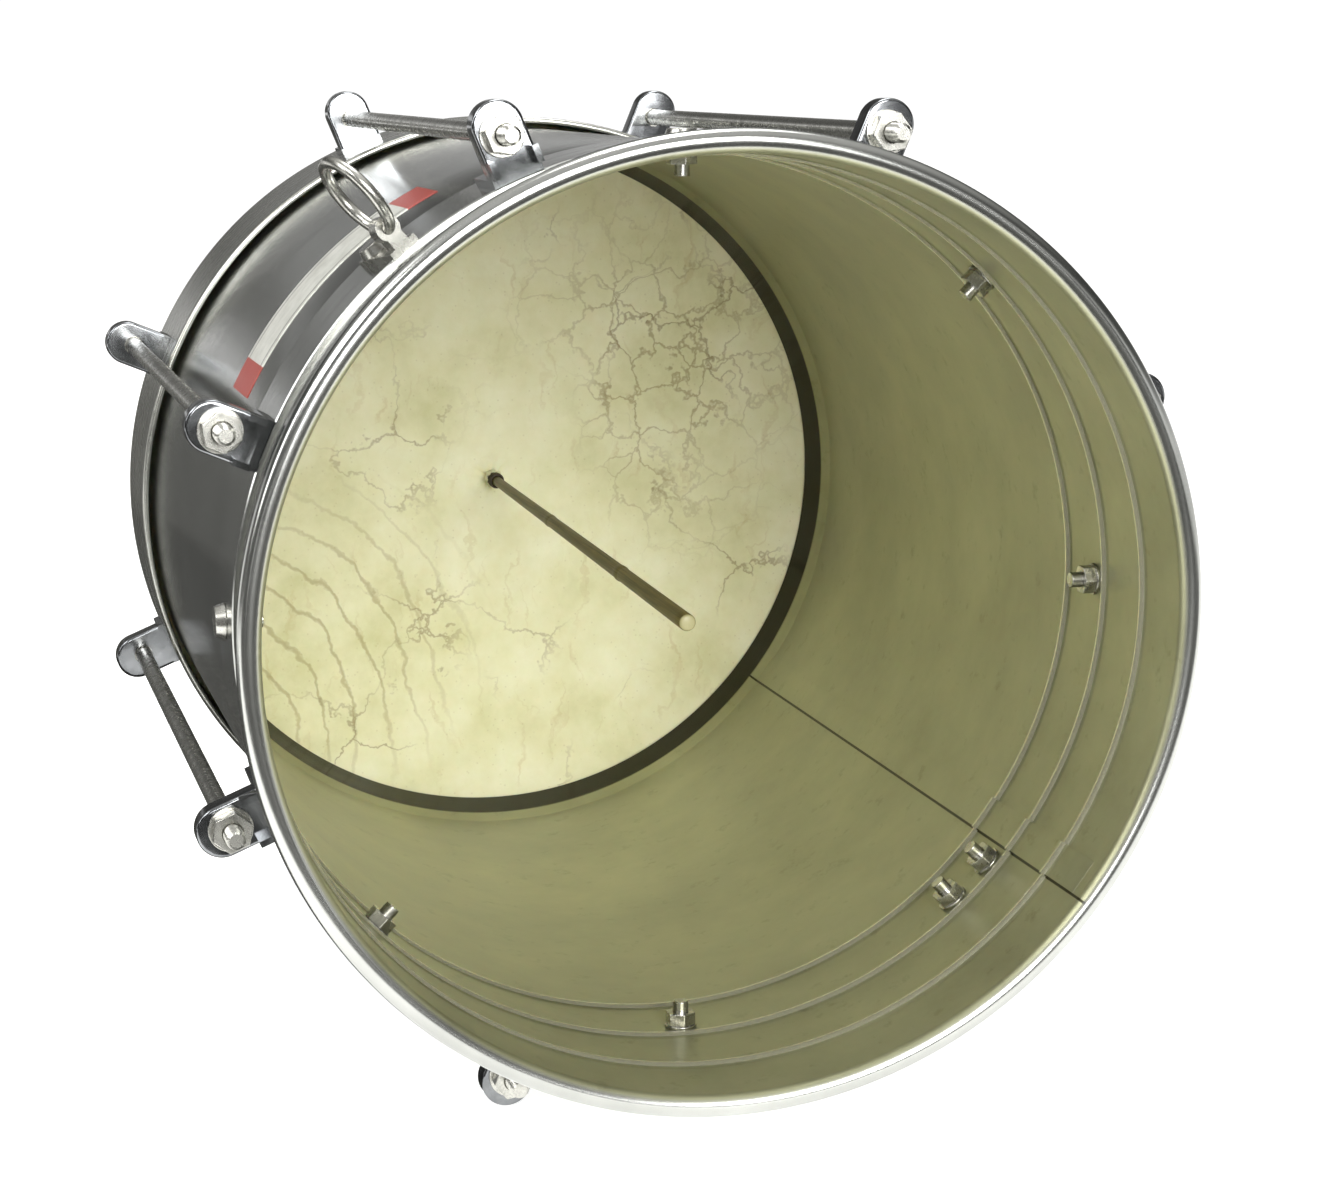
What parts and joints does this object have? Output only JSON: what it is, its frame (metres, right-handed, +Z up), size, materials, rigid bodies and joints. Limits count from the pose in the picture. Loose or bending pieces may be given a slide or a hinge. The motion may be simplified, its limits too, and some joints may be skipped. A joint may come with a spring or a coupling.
{
  "type": "cuica friction drum",
  "caption": "Friction drum: a steel cylinder shell with a rod-tensioned skin head, open at the other end, and a rubbing stick fixed inside at the skin's centre.",
  "frame": {"origin": "on the floor under the middle of the drum, which lies on its side", "axes": "+Y along the drum's axis, from the open end towards the skin head; +Z up; +X to the right seen from the open end"},
  "size_m": [0.2522, 0.29, 0.2523],
  "materials": {
    "polished_steel": "polished",
    "hoop_steel": "polished",
    "chrome_fittings": "polished",
    "zinc_hardware": "satin",
    "goat_skin": "matte",
    "bamboo": "satin",
    "waxed_thread": "matte",
    "label_paper": "satin"
  },
  "bodies": {
    "drum_shell": {"band_bolt_nuts": "zinc_hardware", "band_bolt_washers": "zinc_hardware", "band_bolts": "zinc_hardware", "label": "label_paper", "lower_band": "polished_steel", "lug_bracket_1": "chrome_fittings", "lug_bracket_2": "chrome_fittings", "lug_bracket_3": "chrome_fittings", "lug_bracket_4": "chrome_fittings", "lug_bracket_5": "chrome_fittings", "lug_bracket_6": "chrome_fittings", "lug_bracket_7": "chrome_fittings", "lug_bracket_8": "chrome_fittings", "lug_rivets": "zinc_hardware", "ring_foot": "zinc_hardware", "rod_washers": "zinc_hardware", "shell": "polished_steel"},
    "head": {"counter_hoop": "hoop_steel", "flesh_hoop": "hoop_steel", "skin": "goat_skin", "skin_tuck": "goat_skin", "hoop_ear_1": "chrome_fittings", "hoop_ear_2": "chrome_fittings", "hoop_ear_3": "chrome_fittings", "hoop_ear_4": "chrome_fittings", "hoop_ear_5": "chrome_fittings", "hoop_ear_6": "chrome_fittings", "hoop_ear_7": "chrome_fittings", "hoop_ear_8": "chrome_fittings", "tension_rod_1": "zinc_hardware", "tension_rod_2": "zinc_hardware", "tension_rod_3": "zinc_hardware", "tension_rod_4": "zinc_hardware", "tension_rod_5": "zinc_hardware", "tension_rod_6": "zinc_hardware", "tension_rod_7": "zinc_hardware", "tension_rod_8": "zinc_hardware"},
    "nut_1": {"tension_nut_1": "zinc_hardware"},
    "nut_2": {"tension_nut_2": "zinc_hardware"},
    "nut_3": {"tension_nut_3": "zinc_hardware"},
    "nut_4": {"tension_nut_4": "zinc_hardware"},
    "nut_5": {"tension_nut_5": "zinc_hardware"},
    "nut_6": {"tension_nut_6": "zinc_hardware"},
    "nut_7": {"tension_nut_7": "zinc_hardware"},
    "nut_8": {"tension_nut_8": "zinc_hardware"},
    "knot": {"stick_knot": "waxed_thread"},
    "stick": {"stick": "bamboo"},
    "ring": {"strap_ring": "zinc_hardware"}
  },
  "joints": [
    {"name": "head_lift", "type": "slide", "parent": "drum_shell", "child": "head", "axis": [0, 1, 0], "range_m": [0, 0.0008]},
    {"name": "nut_turn_1", "type": "hinge", "parent": "drum_shell", "child": "nut_1", "pos_m": [0.04879, -0.108, 0.00835], "axis": [0, 1, 0], "range_deg": [0, 360]},
    {"name": "nut_turn_2", "type": "hinge", "parent": "drum_shell", "child": "nut_2", "pos_m": [0.11779, -0.108, 0.07735], "axis": [0, 1, 0], "range_deg": [0, 360]},
    {"name": "nut_turn_3", "type": "hinge", "parent": "drum_shell", "child": "nut_3", "pos_m": [0.11779, -0.108, 0.17493], "axis": [0, 1, 0], "range_deg": [0, 360]},
    {"name": "nut_turn_4", "type": "hinge", "parent": "drum_shell", "child": "nut_4", "pos_m": [0.04879, -0.108, 0.24394], "axis": [0, 1, 0], "range_deg": [0, 360]},
    {"name": "nut_turn_5", "type": "hinge", "parent": "drum_shell", "child": "nut_5", "pos_m": [-0.04879, -0.108, 0.24394], "axis": [0, 1, 0], "range_deg": [0, 360]},
    {"name": "nut_turn_6", "type": "hinge", "parent": "drum_shell", "child": "nut_6", "pos_m": [-0.11779, -0.108, 0.17493], "axis": [0, 1, 0], "range_deg": [0, 360]},
    {"name": "nut_turn_7", "type": "hinge", "parent": "drum_shell", "child": "nut_7", "pos_m": [-0.11779, -0.108, 0.07735], "axis": [0, 1, 0], "range_deg": [0, 360]},
    {"name": "nut_turn_8", "type": "hinge", "parent": "drum_shell", "child": "nut_8", "pos_m": [-0.04879, -0.108, 0.00835], "axis": [0, 1, 0], "range_deg": [0, 360]},
    {"name": "stick_tilt", "type": "hinge", "parent": "head", "child": "knot", "pos_m": [0, 0.1398, 0.12614], "axis": [1, 0, 0], "range_deg": [-8, 8], "stiffness_Nm_per_rad": 0.6},
    {"name": "stick_swing", "type": "hinge", "parent": "knot", "child": "stick", "pos_m": [0, 0.1398, 0.12614], "axis": [0, 0, 1], "range_deg": [-8, 8], "stiffness_Nm_per_rad": 0.6},
    {"name": "ring_swing", "type": "hinge", "parent": "drum_shell", "child": "ring", "pos_m": [-0.07756, -0.10566, 0.22192], "axis": [-0.1581, 0.9781, -0.135], "range_deg": [-75, 75]}
  ],
  "couplings": [
    {"joint": "nut_turn_1", "follows": "head_lift", "rad_per_m": 7854},
    {"joint": "nut_turn_2", "follows": "head_lift", "rad_per_m": 7854},
    {"joint": "nut_turn_3", "follows": "head_lift", "rad_per_m": 7854},
    {"joint": "nut_turn_4", "follows": "head_lift", "rad_per_m": 7854},
    {"joint": "nut_turn_5", "follows": "head_lift", "rad_per_m": 7854},
    {"joint": "nut_turn_6", "follows": "head_lift", "rad_per_m": 7854},
    {"joint": "nut_turn_7", "follows": "head_lift", "rad_per_m": 7854},
    {"joint": "nut_turn_8", "follows": "head_lift", "rad_per_m": 7854}
  ]
}
